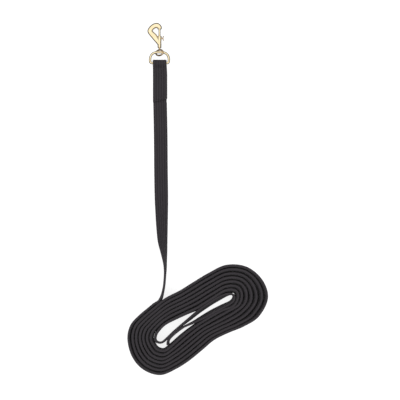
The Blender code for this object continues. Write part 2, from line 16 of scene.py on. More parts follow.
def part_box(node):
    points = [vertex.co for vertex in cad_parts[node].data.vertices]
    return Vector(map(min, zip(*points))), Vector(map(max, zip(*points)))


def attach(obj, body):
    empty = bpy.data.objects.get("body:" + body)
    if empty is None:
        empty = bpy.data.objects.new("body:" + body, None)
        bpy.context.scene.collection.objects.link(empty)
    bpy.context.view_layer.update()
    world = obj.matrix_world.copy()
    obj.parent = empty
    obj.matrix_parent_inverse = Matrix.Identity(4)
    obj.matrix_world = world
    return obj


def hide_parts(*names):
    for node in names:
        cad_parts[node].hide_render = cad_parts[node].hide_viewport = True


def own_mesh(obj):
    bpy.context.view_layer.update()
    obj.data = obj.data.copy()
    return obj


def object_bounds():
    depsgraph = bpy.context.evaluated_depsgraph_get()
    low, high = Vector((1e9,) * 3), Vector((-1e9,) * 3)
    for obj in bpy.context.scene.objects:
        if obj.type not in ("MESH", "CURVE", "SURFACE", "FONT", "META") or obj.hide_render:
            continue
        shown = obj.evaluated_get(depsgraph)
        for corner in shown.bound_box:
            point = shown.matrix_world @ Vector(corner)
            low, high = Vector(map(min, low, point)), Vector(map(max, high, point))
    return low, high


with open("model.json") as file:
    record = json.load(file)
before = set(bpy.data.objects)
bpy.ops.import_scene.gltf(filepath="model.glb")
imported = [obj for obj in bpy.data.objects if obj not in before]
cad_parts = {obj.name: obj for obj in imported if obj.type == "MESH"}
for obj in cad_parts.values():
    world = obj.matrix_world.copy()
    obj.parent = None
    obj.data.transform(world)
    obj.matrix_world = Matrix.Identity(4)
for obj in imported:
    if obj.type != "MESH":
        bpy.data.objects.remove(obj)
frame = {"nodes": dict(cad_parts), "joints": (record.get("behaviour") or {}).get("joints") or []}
cad_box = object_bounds()
joints = {joint["name"]: joint for joint in frame["joints"]}

# %% [markdown]
# The strap's width and thickness decide everything else about it. The fold's box gives the
# strap's axis and the place where it goes on alone, and the joints give the ring's bar, the
# ring's crown and the direction of the snap's stem.

# %% Sizes and fixed places
STRAP_WIDTH = 0.020
STRAP_THICKNESS = 0.003
RIBS = 5  # lengthwise, on each face
EDGE_ROUND = 0.0011
RIB_FIELD = STRAP_WIDTH / 2 - EDGE_ROUND  # half the width that the ribs share
fold_low, fold_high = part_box("ring_fold")
strap_x = (fold_low.x + fold_high.x) / 2
fold_end_y = fold_low.y
bar = Vector(joints["ring_hinge"]["pos_m"])
crown = Vector(joints["eye_on_ring"]["pos_m"])
print("bar", [round(1000 * c, 2) for c in bar], "crown", [round(1000 * c, 2) for c in crown])

# %% [markdown]
# The leash is seen from straight above, with the snap at the top. A long lens keeps the coil's
# walls from showing. The look is plain: what the object's own colours are is what is seen.

# %% Camera
CAMERA_HEIGHT = 1.6
CAMERA_ASIDE = 0.0604  # from the strap's axis
CAMERA_BELOW = 0.2054  # from the ring's bar, towards the coil
camera_data = bpy.data.cameras.new("camera")
camera_data.sensor_width = 36
camera_data.lens = 95.7
camera_data.clip_end = 60
camera = bpy.data.objects.new("camera", camera_data)
camera.location = (strap_x + CAMERA_ASIDE, bar.y - CAMERA_BELOW, CAMERA_HEIGHT)
bpy.context.scene.collection.objects.link(camera)
bpy.context.scene.camera = camera
bpy.context.scene.view_settings.view_transform = "Standard"
print("camera over", [round(c, 4) for c in camera.location])

# %% [markdown]
# A light table is the floor: it glows a little, so hollows between black turns stay pale. The
# sky is bright overhead and dark at the horizon, and reflections don't see the floor, because
# that is what draws the dark lines along the edges of polished wire. Two broad lamps, kept out
# of reflections too, give the strap's ribs a lit and a shaded side.

# %% Floor and light
FLOOR_SIZE = 12
FLOOR_DROP = 0.0002  # below the strap, so that the two don't share a plane
middle_x = (cad_box[0][0] + cad_box[1][0]) / 2
middle_y = (cad_box[0][1] + cad_box[1][1]) / 2
floor_mesh = bpy.data.meshes.new("floor")
floor_form = bmesh.new()
bmesh.ops.create_grid(floor_form, x_segments=1, y_segments=1, size=FLOOR_SIZE)
floor_form.to_mesh(floor_mesh)
floor_form.free()
floor = bpy.data.objects.new("floor", floor_mesh)
floor.location = (0, 0, -FLOOR_DROP)
bpy.context.scene.collection.objects.link(floor)
floor_paint = bpy.data.materials.new("pale floor")
floor_paint.use_nodes = True
floor_shader = floor_paint.node_tree.nodes["Principled BSDF"]
floor_shader.inputs["Base Color"].default_value = (0.40, 0.40, 0.40, 1)
floor_shader.inputs["Roughness"].default_value = 0.9
floor_shader.inputs["Specular IOR Level"].default_value = 0.0
floor_shader.inputs["Emission Color"].default_value = (1, 1, 1, 1)
floor_shader.inputs["Emission Strength"].default_value = 0.80
floor.visible_glossy = False
floor_mesh.materials.append(floor_paint)

world = bpy.data.worlds.new("studio")
bpy.context.scene.world = world
world.use_nodes = True
sky = world.node_tree
direction = sky.nodes.new("ShaderNodeTexCoord")
split = sky.nodes.new("ShaderNodeSeparateXYZ")
ramp = sky.nodes.new("ShaderNodeValToRGB")
sky.links.new(direction.outputs["Generated"], split.inputs[0])
sky.links.new(split.outputs["Z"], ramp.inputs["Fac"])
sky.links.new(ramp.outputs["Color"], sky.nodes["Background"].inputs["Color"])
for at, grey in ((0.26, 0.02), (0.44, 0.07), (0.62, 0.65), (0.76, 1.0)):
    stop = ramp.color_ramp.elements.new(at)
    stop.color = (grey, grey, grey, 1)
ramp.color_ramp.elements.remove(ramp.color_ramp.elements[0])
ramp.color_ramp.elements.remove(ramp.color_ramp.elements[-1])
sky.nodes["Background"].inputs["Strength"].default_value = 1.2


def add_lamp(name, place, size, power):
    """A square lamp that faces the leash."""
    data = bpy.data.lights.new(name, "AREA")
    data.size = size
    data.energy = power
    lamp = bpy.data.objects.new(name, data)
    lamp.location = place
    aim = Vector((middle_x, middle_y, 0)) - Vector(place)
    lamp.rotation_euler = aim.to_track_quat("-Z", "Y").to_euler()
    lamp.visible_glossy = False
    bpy.context.scene.collection.objects.link(lamp)


add_lamp("key lamp", (middle_x - 1.1, middle_y + 0.9, 1.1), 0.8, 10)
add_lamp("fill lamp", (middle_x + 1.2, middle_y - 0.5, 1.0), 0.8, 6)
print("floor, sky and two lamps are in place")

# %% [markdown]
# ## Finishes
#
# Webbing is woven from thick yarns, so it is dull, has a fine relief and is never one flat
# black. A strap bends and rolls, so its pattern cannot follow the room's axes. Each strap mesh
# therefore carries an attribute with its own length and width, and the weave is drawn on that.


# %% Helpers for node materials
class Nodes:
    """Adds nodes to a material in few words."""

    def __init__(self, name):
        self.material = bpy.data.materials.new(name)
        self.material.use_nodes = True
        self.tree = self.material.node_tree
        self.shader = self.tree.nodes["Principled BSDF"]

    def add(self, kind, **inputs):
        node = self.tree.nodes.new(kind)
        for key, value in inputs.items():
            name = key.replace("_", " ")
            socket = node.inputs[int(key[1:])] if key[0] == "i" and key[1:].isdigit() else None
            socket = socket or node.inputs[name]
            if isinstance(value, bpy.types.NodeSocket):
                self.tree.links.new(value, socket)
            else:
                socket.default_value = value
        return node

    def math(self, operation, first, second=0.0):
        node = self.add("ShaderNodeMath", i0=first, i1=second)
        node.operation = operation
        return node.outputs[0]

    def mix(self, share, first, second):
        node = self.tree.nodes.new("ShaderNodeMix")
        node.data_type = "RGBA"
        for socket, value in ((0, share), (6, first), (7, second)):
            if isinstance(value, bpy.types.NodeSocket):
                self.tree.links.new(value, node.inputs[socket])
            else:
                node.inputs[socket].default_value = value
        return node.outputs[2]

    def bump(self, height, strength, distance):
        node = self.add("ShaderNodeBump", Height=height)
        node.inputs["Strength"].default_value = strength
        node.inputs["Distance"].default_value = distance
        self.tree.links.new(node.outputs[0], self.shader.inputs["Normal"])


def set_plain(shader, **values):
    """Sets numbers on the shader's own sockets."""
    for key, value in values.items():
        shader.inputs[key.replace("_", " ")].default_value = value


print("node helpers: add, math, mix, bump and set_plain")


# %% [markdown]
# The weave: columns of warp yarn run along the strap, and each column rises and falls where the
# weft passes under and over it, half a step later than its neighbour. That makes the small
# slanting bumps of a twill. Fine noise adds the fuzz of the yarn.


# %% Black webbing
YARN_WIDTH = 0.00082
TWILL_LENGTH = 0.0019  # one rise and fall of a yarn


def make_webbing():
    n = Nodes("black ribbed webbing")
    place = n.add("ShaderNodeAttribute")
    place.attribute_name = "weave"
    part = n.add("ShaderNodeSeparateXYZ", Vector=place.outputs["Vector"])
    along, across = part.outputs["X"], part.outputs["Y"]
    column = n.math("DIVIDE", across, YARN_WIDTH)
    step = n.math("MULTIPLY", n.math("FLOOR", column), 0.5)
    rise = n.math("ADD", n.math("DIVIDE", along, TWILL_LENGTH), step)
    wave = n.math("SINE", n.math("MULTIPLY", rise, 2 * math.pi))
    wave = n.math("ADD", n.math("MULTIPLY", wave, 0.5), 0.5)
    valley = n.math("ABSOLUTE", n.math("SINE", n.math("MULTIPLY", column, math.pi)))
    yarn = n.math("MULTIPLY", n.math("POWER", valley, 0.6), n.math("ADD", wave, 0.6))
    fuzz = n.add("ShaderNodeTexNoise", Vector=place.outputs["Vector"], Scale=2600.0, Detail=2.0)
    height = n.math("ADD", yarn, n.math("MULTIPLY", fuzz.outputs["Fac"], 0.7))
    n.bump(height, 0.55, 0.00025)

    wash = n.add("ShaderNodeTexNoise", Vector=place.outputs["Vector"], Scale=45.0, Detail=3.0)
    black = n.mix(wash.outputs["Fac"], (0.021, 0.0178, 0.0214, 1), (0.033, 0.0286, 0.0334, 1))
    lit = n.math("MULTIPLY", yarn, 0.30)
    black = n.mix(lit, black, (0.070, 0.063, 0.070, 1))
    # Painted shade: the grooves between the ribs are darkened in the base colour
    rib_turns = math.pi * RIBS / (2 * RIB_FIELD)
    crest = n.math("MULTIPLY", n.math("ADD", across, RIB_FIELD), rib_turns)
    crest = n.math("POWER", n.math("ABSOLUTE", n.math("SINE", crest)), 0.8)
    groove_painted_shade = n.math("MULTIPLY", n.math("SUBTRACT", 1.0, crest), 0.62)
    black = n.mix(groove_painted_shade, black, (0.004, 0.0034, 0.0042, 1))
    # Handling wears the selvedges a little paler
    rim = n.math("MULTIPLY", n.math("ABSOLUTE", across), 1 / (STRAP_WIDTH / 2))
    rim = n.math("POWER", rim, 14.0)
    scuff = n.math("MULTIPLY", rim, n.math("MULTIPLY", fuzz.outputs["Fac"], 0.40))
    n.tree.links.new(n.mix(scuff, black, (0.060, 0.056, 0.060, 1)), n.shader.inputs["Base Color"])
    set_plain(n.shader, Roughness=0.85, Sheen_Weight=0.06, Sheen_Roughness=0.45)
    set_plain(n.shader, Specular_IOR_Level=0.25)
    return n.material


webbing = make_webbing()
print("webbing ready:", len(webbing.node_tree.nodes), "nodes")

# %% [markdown]
# Sewing thread is smoother than webbing and shows its twist as fine slanting lines.


# %% Black thread
def make_thread():
    n = Nodes("black bonded thread")
    place = n.add("ShaderNodeTexCoord")
    twist = n.add("ShaderNodeTexWave", Vector=place.outputs["Object"], Scale=900.0)
    twist.bands_direction = "DIAGONAL"
    n.bump(twist.outputs["Fac"], 0.4, 0.0001)
    tone = n.mix(twist.outputs["Fac"], (0.020, 0.018, 0.021, 1), (0.055, 0.050, 0.055, 1))
    n.tree.links.new(tone, n.shader.inputs["Base Color"])
    set_plain(n.shader, Roughness=0.5)
    return n.material


thread = make_thread()
print("thread ready")

# %% [markdown]
# The snap, ring and eye are polished and thinly plated. Their gold is pale, and it is a little
# deeper and duller where handling has rubbed it. Tiny waves in the polish break up reflections.


# %% Pale polished brass
def make_brass(name, pale, deep, polish):
    n = Nodes(name)
    place = n.add("ShaderNodeTexCoord")
    cloud = n.add("ShaderNodeTexNoise", Vector=place.outputs["Object"], Scale=160.0, Detail=4.0)
    fine = n.add("ShaderNodeTexNoise", Vector=place.outputs["Object"], Scale=2200.0, Detail=2.0)
    tone = n.mix(cloud.outputs["Fac"], pale, deep)
    n.tree.links.new(tone, n.shader.inputs["Base Color"])
    rough = n.math("ADD", n.math("MULTIPLY", cloud.outputs["Fac"], 0.10), polish)
    rough = n.math("ADD", rough, n.math("MULTIPLY", fine.outputs["Fac"], 0.05))
    n.tree.links.new(rough, n.shader.inputs["Roughness"])
    n.bump(fine.outputs["Fac"], 0.12, 0.00005)
    set_plain(n.shader, Metallic=1.0)
    return n.material


brass = make_brass("pale polished brass", (0.95, 0.84, 0.58, 1), (0.84, 0.66, 0.38, 1), 0.10)
rubbed = make_brass("rubbed brass", (0.84, 0.64, 0.38, 1), (0.66, 0.45, 0.24, 1), 0.24)
steel = make_brass("drawn spring steel", (0.62, 0.61, 0.60, 1), (0.45, 0.44, 0.43, 1), 0.25)
print("brass and steel ready")

# %% [markdown]
# ## The strap's section
#
# A ribbed strap has round ribs on both faces and round selvedges. Its outline could be drawn as
# a bump, but real ribs catch the light along their length, so they are part of the shape. The
# outline is a list of points once round the section: across the strap, and out from its middle.

# %% Section with ribs
RIB_DEPTH = 0.00030
RIB_STEPS = 4  # faces to one rib
RIB_ROUNDNESS = 0.7  # under 1 gives a rib a fuller back


def strap_section():
    """Points once round the strap's section, as (across, out)."""
    flat = RIB_FIELD
    upper = []
    for i in range(RIBS * RIB_STEPS + 1):
        share = i / (RIBS * RIB_STEPS)
        rib = abs(math.sin(math.pi * RIBS * share)) ** RIB_ROUNDNESS
        upper.append((flat * (1 - 2 * share), STRAP_THICKNESS / 2 - RIB_DEPTH * (1 - rib)))
    edge = []
    for angle in (50, 25, 0, -25, -50):
        turn = math.radians(angle)
        x = -flat - EDGE_ROUND * math.cos(turn)
        edge.append((x, STRAP_THICKNESS / 2 * 0.92 * math.sin(turn) / math.sin(math.radians(62))))
    half = upper + edge
    return half + [(-x, -out) for x, out in half]


SECTION = strap_section()
print("section points:", len(SECTION))

# %% [markdown]
# To lay the strap, a flat grid is wrapped round the section and carried along stations. Each
# station says where the strap's middle is, which way its width points and which way its face
# looks. The grid's operator makes the faces, and only its points are moved. The two long sides
# of the grid are then welded, and the ends are closed.


# %% Lay a strap along stations
def make_object(name, bm, material, body):
    """Finishes a bmesh as a piece that rides on a body."""
    mesh = bpy.data.meshes.new(name)
    bm.to_mesh(mesh)
    bm.free()
    mesh.materials.append(material)
    mesh.shade_smooth()
    mesh.set_sharp_from_angle(angle=math.radians(50))
    piece = bpy.data.objects.new(name, mesh)
    bpy.context.scene.collection.objects.link(piece)
    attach(piece, body)
    return piece


def lay_strap(name, stations, start_length=0.0):
    """stations are (middle, width way, face way, shift along per metre across, pressing)."""
    around = len(SECTION)
    bm = bmesh.new()
    weave = bm.verts.layers.float_vector.new("weave")
    steps = len(stations) - 1
    bmesh.ops.create_grid(bm, x_segments=around, y_segments=steps, size=0.5)
    bm.verts.ensure_lookup_table()
    seam, length = [], start_length
    for i, (middle, wide, face, shift, press) in enumerate(stations):
        if i:
            length += (middle - stations[i - 1][0]).length
        for j in range(around + 1):
            across, out = SECTION[j % around]
            vert = bm.verts[i * (around + 1) + j]
            vert.co = middle + wide * across + face * (out * press) + shift * across
            vert[weave] = (length, across, out)
            if j in (0, around):
                seam.append(vert)
    bmesh.ops.remove_doubles(bm, verts=seam, dist=1e-6)
    rims = [edge for edge in bm.edges if edge.is_boundary]
    bmesh.ops.holes_fill(bm, edges=rims, sides=0)
    bmesh.ops.recalc_face_normals(bm, faces=bm.faces)
    print(name, "laid:", round(length - start_length, 3), "m in", steps, "steps")
    return make_object(name, bm, webbing, "webbing"), length


print("each ring of a strap has", len(SECTION), "points")

# %% [markdown]
# ## The way the strap runs
#
# These points are the strap's own route: x from its axis, y from the end of the fold. A smooth
# curve through them bends as a strap does. The third number of the lead's points is its roll,
# from flat to standing on its edge.

# %% Route of the lead
LEAD_ROUTE = [
    (0.0004, 0.0002, 0),
    (0.0013, -0.0486, 0),
    (0.0017, -0.0982, 0),
    (0.0022, -0.1313, 5),
    (0.0028, -0.1584, 23),
    (0.0034, -0.1824, 36),
    (0.0044, -0.2065, 50),
    (0.0062, -0.2215, 65),
    (0.0078, -0.2366, 79),
    (0.0085, -0.2486, 86),
    (0.0080, -0.2607, 90),
    (0.0070, -0.2727, 90),
    (0.0058, -0.2800, 89),
    (0.0043, -0.2868, 87),
    (0.0023, -0.2930, 83),
    (-0.0006, -0.2982, 79),
]
print("lead points:", len(LEAD_ROUTE))

# %% [markdown]
# The coil is a spiral between two closed curves. Each station names the middle of the strap's
# innermost pass and of its outermost one, clockwise from the coil's left end.

# %% Route of the coil and the hand loop
COIL_INNER = [
    (-0.0065, -0.3539),
    (-0.0053, -0.3474),
    (-0.0020, -0.3419),
    (0.0068, -0.3326),
    (0.0195, -0.3253),
    (0.0408, -0.3152),
    (0.0577, -0.3077),
    (0.0809, -0.2934),
    (0.0990, -0.2830),
    (0.1123, -0.2829),
    (0.1154, -0.2907),
    (0.1088, -0.3026),
    (0.0938, -0.3083),
    (0.0795, -0.3162),
    (0.0667, -0.3247),
    (0.0545, -0.3331),
    (0.0419, -0.3423),
    (0.0299, -0.3521),
    (0.0186, -0.3622),
    (0.0073, -0.3706),
    (-0.0029, -0.3685),
    (-0.0082, -0.3619),
]
COIL_OUTER = [
    (-0.0446, -0.3540),
    (-0.0408, -0.3347),
    (-0.0296, -0.3214),
    (-0.0133, -0.3076),
    (0.0092, -0.2958),
    (0.0318, -0.2841),
    (0.0514, -0.2722),
    (0.0747, -0.2582),
    (0.1005, -0.2465),
    (0.1288, -0.2491),
    (0.1500, -0.2668),
    (0.1578, -0.2918),
    (0.1454, -0.3172),
    (0.1243, -0.3316),
    (0.1029, -0.3411),
    (0.0809, -0.3524),
    (0.0631, -0.3671),
    (0.0439, -0.3828),
    (0.0234, -0.3959),
    (0.0007, -0.4047),
    (-0.0225, -0.3969),
    (-0.0381, -0.3787),
]
COIL_TURNS = 7.15
LOOP_ROUTE = [
    (-0.0062, -0.3563),
    (-0.0046, -0.3589),
    (-0.0015, -0.3605),
    (0.0024, -0.3607),
    (0.0066, -0.3586),
    (0.0123, -0.3531),
    (0.0213, -0.3444),
    (0.0333, -0.3350),
    (0.0453, -0.3264),
    (0.0596, -0.3155),
    (0.0769, -0.3037),
    (0.0905, -0.2957),
    (0.1020, -0.2893),
    (0.1085, -0.2879),
    (0.1105, -0.2920),
    (0.1060, -0.2984),
    (0.0935, -0.3044),
    (0.0784, -0.3119),
    (0.0649, -0.3199),
    (0.0488, -0.3304),
    (0.0357, -0.3374),
    (0.0236, -0.3463),
    (0.0163, -0.3530),
    (0.0135, -0.3576),
    (0.0134, -0.3620),
]
print("stations round the coil:", len(COIL_INNER))

# %% [markdown]
# Two small tools: a smooth curve through points, and a walk along a line in equal steps.


# %% Curve tools
def curve_point(points, at):
    """A point of the smooth curve through the points, where at counts them from 0."""
    first = min(max(int(math.floor(at)), 0), len(points) - 2)
    t = at - first
    b, c = points[first], points[first + 1]
    a = points[first - 1] if first > 0 else 2 * b - c
    d = points[first + 2] if first + 2 < len(points) else 2 * c - b
    return 0.5 * (
        2 * b + (c - a) * t + (2 * a - 5 * b + 4 * c - d) * t**2 + (3 * b - a - 3 * c + d) * t**3
    )


def walk(fine, step):
    """Points about a step apart along a fine line, ends included."""
    along = [0.0]
    for a, b in zip(fine, fine[1:]):
        along.append(along[-1] + (b.xy - a.xy).length)
    count = max(2, round(along[-1] / step))
    found, at = [], 0
    for i in range(count + 1):
        wanted = along[-1] * i / count
        while at < len(fine) - 2 and along[at + 1] < wanted:
            at += 1
        share = (wanted - along[at]) / (along[at + 1] - along[at])
        found.append(fine[at].lerp(fine[at + 1], share))
    return found


def to_frame(x, y, z=0.0):
    """From the route's own numbers to a place in the frame."""
    return Vector((strap_x + x, fold_end_y + y, z))


print("the lead starts at", [round(c, 4) for c in to_frame(*LEAD_ROUTE[0][:2])])

# %% [markdown]
# The spiral. Where the wound strap has room, the middle turns lie a little nearer the outside
# and wander by a fraction of a millimetre, because nobody winds a strap evenly.


# %% Coil line
SIDE_GAP = 0.00005  # always left between two turns


def closed_point(points, turn):
    """A point of a smooth closed curve, where turn 1 is once round it."""
    at = (turn % 1.0) * len(points)
    first = int(at)
    near = [points[(first + i) % len(points)] for i in (-1, 0, 1, 2)]
    return curve_point(near, 1 + at - first)


def coil_limits():
    """Closed curves at the spiral's start and end, with its pitch carried round them."""
    inner, outer = [], []
    for i, (first, last) in enumerate(zip(COIL_INNER, COIL_OUTER)):
        share = i / len(COIL_INNER)
        pitch = (Vector(last) - Vector(first)) / math.floor(COIL_TURNS - share)
        inner.append(Vector(first) - pitch * share)
        outer.append(Vector(first) + pitch * (COIL_TURNS - share))
    return inner, outer


LIMITS = coil_limits()


def coil_room(turns):
    """The free width beside one turn of the strap."""
    inner, outer = (closed_point(limit, turns) for limit in LIMITS)
    return max(0.0, (outer - inner).length / COIL_TURNS - STRAP_THICKNESS - SIDE_GAP)


def coil_point(turns):
    """A point of the spiral, turns out from its start."""
    inner, outer = (closed_point(limit, turns) for limit in LIMITS)
    way = (outer - inner).normalized()
    middle = min(1.0, max(0.0, (turns - 1) / (COIL_TURNS - 2)))
    shift = 0.3 * middle * (1 - middle)
    wander = 0.05 * math.sin(2.4 * turns + 1.3) + 0.02 * math.sin(7.1 * turns)
    calm = min(1.0, turns / 0.6, max(0.0, COIL_TURNS - 1 - turns) / 0.6)
    return inner.lerp(outer, turns / COIL_TURNS) + way * coil_room(turns) * (shift + wander * calm)


least_room = min(coil_room(i / 90) for i in range(90))
print("least room beside a turn:", round(least_room * 1000, 2), "mm")

# %% [markdown]
# ## The lead
#
# From the fold the strap lies flat, then its left edge rises until it stands on its right edge
# and runs into the coil. It is one free length of strap, so it is laid as one piece.

# %% Lay the lead
LEAD_SPREAD = 1.03  # the weave relaxes to a little over its nominal width
COIL_PLUMP = 1.15  # and it is thicker where nothing presses it
LEAD_LEAN = math.radians(12)  # where it meets the coil
LEAD_STEP = 0.0025
CURVE_PARTS = 24  # of a route between two of its points
ahead = (coil_point(COIL_TURNS) - coil_point(COIL_TURNS - 0.002)).normalized()
coil_start = coil_point(COIL_TURNS)
last_key = Vector((coil_start.x, coil_start.y, 90 - math.degrees(LEAD_LEAN)))
keys = [Vector(key) for key in LEAD_ROUTE] + [last_key]
# One point more at each end gives the curve its direction there
before = keys[0] + Vector((0, 0.02, 0))
after = last_key - Vector((ahead.x, ahead.y, 0)) * 0.005
keys = [before] + keys + [after]
parts = CURVE_PARTS * (len(keys) - 3)
fine = [curve_point(keys, 1 + i / CURVE_PARTS) for i in range(parts + 1)]
line = walk(fine, LEAD_STEP)
lead_stations, lead_path = [], []
for i, key in enumerate(line):
    tangent = (line[min(i + 1, len(line) - 1)] - line[max(i - 1, 0)]).xy
    side = Vector((-tangent.y, tangent.x, 0)).normalized()
    if i == 0:
        side = Vector((1, 0, 0))
    if i == len(line) - 1:
        side = Vector((ahead.y, -ahead.x, 0))
    roll = math.radians(min(90, max(0, key.z)))
    share = i / (len(line) - 1)
    spread = LEAD_SPREAD + (1 - LEAD_SPREAD) * share**2
    plump = 1 + (COIL_PLUMP - 1) * share**4
    width, depth = STRAP_WIDTH * spread, STRAP_THICKNESS * plump
    height = (width * math.sin(roll) + depth * math.cos(roll)) / 2
    middle = to_frame(key.x, key.y, height)
    wide = side * math.cos(roll) - Vector((0, 0, 1)) * math.sin(roll)
    face = Vector((0, 0, 1)) * math.cos(roll) + side * math.sin(roll)
    lead_stations.append((middle, wide * spread, face, Vector(), plump))
    lead_path.append(middle)
lead, lead_end = lay_strap("strap_lead", lead_stations)
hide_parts("webbing_lead")

# %% [markdown]
# ## The coil and the hand loop
#
# The rest of the strap is one strip, wound on its edge from the outside in, then round the hand
# loop. It is cloth folded on itself.

# %% Line of the wound strap
TURN_PARTS = 5000
COIL_STEP = 0.0027
turn_line = [coil_point(COIL_TURNS * (1 - i / TURN_PARTS)) for i in range(TURN_PARTS + 1)]
wound = [
    Vector((p.x, p.y, COIL_TURNS * (1 - i / TURN_PARTS))) for i, p in enumerate(turn_line)
]
loop_keys = [turn_line[-1]] + [Vector(key) for key in LOOP_ROUTE]
parts = CURVE_PARTS * (len(loop_keys) - 1)
loop_line = [curve_point(loop_keys, i / CURVE_PARTS) for i in range(parts + 1)]
# The third number counts turns down to 0 in the coil, and points of the loop below 0
looped = [Vector((p.x, p.y, -i / CURVE_PARTS)) for i, p in enumerate(loop_line)]
line = walk(wound + looped[1:], COIL_STEP)
print("stations along the coil and loop:", len(line))

# %% [markdown]
# Every turn leans a little, so that its top edge covers the gap to the next one. The loop's
# leans are given at its own points, because each of its runs rests against another neighbour.

# %% Lay the coil
WOUND_FROM = Vector((0.062, -0.208))
LEAN_SPARE = 0.0006
PUSH = 0.0125  # sideways shift of the top edge, per metre from there
LOOP_PLUMP = 1.12
LOOP_LEANS = [0, -2, -5, -7, -7, -6, -5, -5, -8, -12, -15, -16, -17, -11, -4, -4, -5, -7, -8]
LOOP_LEANS += [-7, 2, 6, 6, 5, 4, 4]  # degrees at the loop's points, from the coil's end on


def coil_lean(turns, place, outwards):
    """The strap leans outwards as far as the room beside its turn lets it, and further on the
    side where the coil was pushed together by hand."""
    pushed = (place - WOUND_FROM).dot(outwards) * PUSH
    reach = coil_room(turns) + LEAN_SPARE - pushed
    return math.asin(min(0.3, max(0.0, reach / STRAP_WIDTH))) * min(1.0, turns / 0.35)


leans = [Vector((lean, 0, 0)) for lean in LOOP_LEANS]
down = Vector((0, 0, -1))
coil_stations = []
travelled = 0.0
for i, key in enumerate(line):
    tangent = (line[min(i + 1, len(line) - 1)] - line[max(i - 1, 0)]).xy
    side = Vector((-tangent.y, tangent.x, 0)).normalized()
    if i == 0:
        side = Vector((ahead.y, -ahead.x, 0))
    calm = min(1.0, travelled / 0.15)
    place = to_frame(key.x, key.y)
    if key.z >= 0:
        lean = coil_lean(key.z, place.xy, -side.xy) * calm + LEAD_LEAN * (1 - calm)
    else:
        lean = math.radians(curve_point(leans, -key.z).x)
        place -= side * math.sin(lean) * STRAP_WIDTH / 2  # its foot stays put
    lift = 0.00030 * calm * (1 + math.sin(travelled * 11)) * min(1.0, max(0.0, key.z))
    filled = 1 + min(0.35, 0.8 * coil_room(key.z) / STRAP_THICKNESS)
    plump = LOOP_PLUMP if key.z < 0 else filled
    plump = COIL_PLUMP * (1 - calm) + plump * calm
    foot = STRAP_THICKNESS * plump * abs(math.sin(lean))
    height = (STRAP_WIDTH * math.cos(lean) + foot) / 2 + lift
    wide = down * math.cos(lean) + side * math.sin(lean)
    face = side * math.cos(lean) - down * math.sin(lean)
    coil_stations.append((place + Vector((0, 0, height)), wide, face, Vector(), plump))
    travelled += COIL_STEP
coil, coil_end = lay_strap("strap_coil", coil_stations, lead_end)
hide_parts("webbing_coil", "hand_loop")

# %% [markdown]
# ## The fold round the ring
#
# The strap comes up over the ring's bar and back on itself, and its cut end is slanted. The
# path is seen from the side: along the floor, round the bar, down a short slope and along the
# top of the lower layer.

# %% Fold path
BAR_ROOM = fold_high.z - bar.z - STRAP_THICKNESS / 2  # from the bar's middle to the strap's
FLAP_HEIGHT = 0.0048
FLAP_END = 0.0561
FLAP_SLANT = 0.26
TAPER = 0.009


def fold_heights():
    """The fold seen from the side, as (y from the bar, height) points."""
    points = [(fold_end_y - bar.y, STRAP_THICKNESS / 2), (-0.030, STRAP_THICKNESS / 2)]
    points += [(-0.012, STRAP_THICKNESS / 2), (-0.004, STRAP_THICKNESS / 2)]
    for i in range(17):
        angle = -math.pi / 2 + math.pi * i / 16
        points.append((BAR_ROOM * math.cos(angle), bar.z + BAR_ROOM * math.sin(angle)))
    top = bar.z + BAR_ROOM
    for i in range(1, 13):
        share = i / 12
        ease = share * share * (3 - 2 * share)
        points.append((-TAPER * share, top + (FLAP_HEIGHT - top) * ease))
    points += [(-0.014, FLAP_HEIGHT), (-0.030, FLAP_HEIGHT), (-FLAP_END, FLAP_HEIGHT)]
    return [Vector((y, z, 0)) for y, z in points]


def flap_height(y):
    """The height of the flap's middle at a distance below the bar."""
    share = min(1.0, max(0.0, -y / TAPER))
    top = bar.z + BAR_ROOM
    return top + (FLAP_HEIGHT - top) * share * share * (3 - 2 * share)


PRESSED_LENGTH = 0.006


def end_press(left_over):
    """How thin the flap is pressed at a distance from its slanted end."""
    return 0.45 + 0.55 * min(1.0, max(0.0, left_over) / PRESSED_LENGTH) ** 0.7


print("flap height at the bar:", round(1000 * flap_height(0), 2), "mm")

# %% [markdown]
# The strap is laid along that path. Its upper layer is a little wider than the lower one, and
# its stations skew towards the slanted end.

# %% Lay the fold
FOLD_STEP = 0.0012
FOLD_START = -0.1235  # so that the weave's lengths run on into the lead's
FLAP_SPREAD = 0.045  # over the lead's own spread
profile = walk(fold_heights(), FOLD_STEP)
fold_stations = []
bend_starts = max(i for i, p in enumerate(profile) if p.x > 0)
for i, p in enumerate(profile):
    a, b = profile[max(i - 1, 0)], profile[min(i + 1, len(profile) - 1)]
    tangent = Vector((0, b.x - a.x, b.y - a.y)).normalized()
    outward = Vector((0, -tangent.z, tangent.y))
    # The layers skew little by little towards the slanted end
    skew = min(1.0, max(0.0, (i - bend_starts) / (len(profile) - 1 - bend_starts)))
    shift = Vector((0, FLAP_SLANT * skew**4, 0))
    # The flap spreads a little over the strap, and its sewn end is pressed thin
    spread = LEAD_SPREAD + FLAP_SPREAD * min(1.0, skew * 3)
    press = end_press(p.x + FLAP_END) if i > bend_starts else 1.0
    drop = STRAP_THICKNESS / 2 * (1 - press)
    middle = Vector((strap_x + 0.0005 * min(1.0, skew * 3), bar.y + p.x, p.y - drop))
    fold_stations.append((middle, Vector((spread, 0, 0)), outward, shift, press))
fold, fold_end = lay_strap("strap_fold", fold_stations, FOLD_START)
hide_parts("ring_fold")

# %% [markdown]
# ## Sewing
#
# Each visible stitch is a short bead of thread, pressed into the strap at both ends. Rows of
# them make a box with a cross under the ring, and three rows along the slanted end.


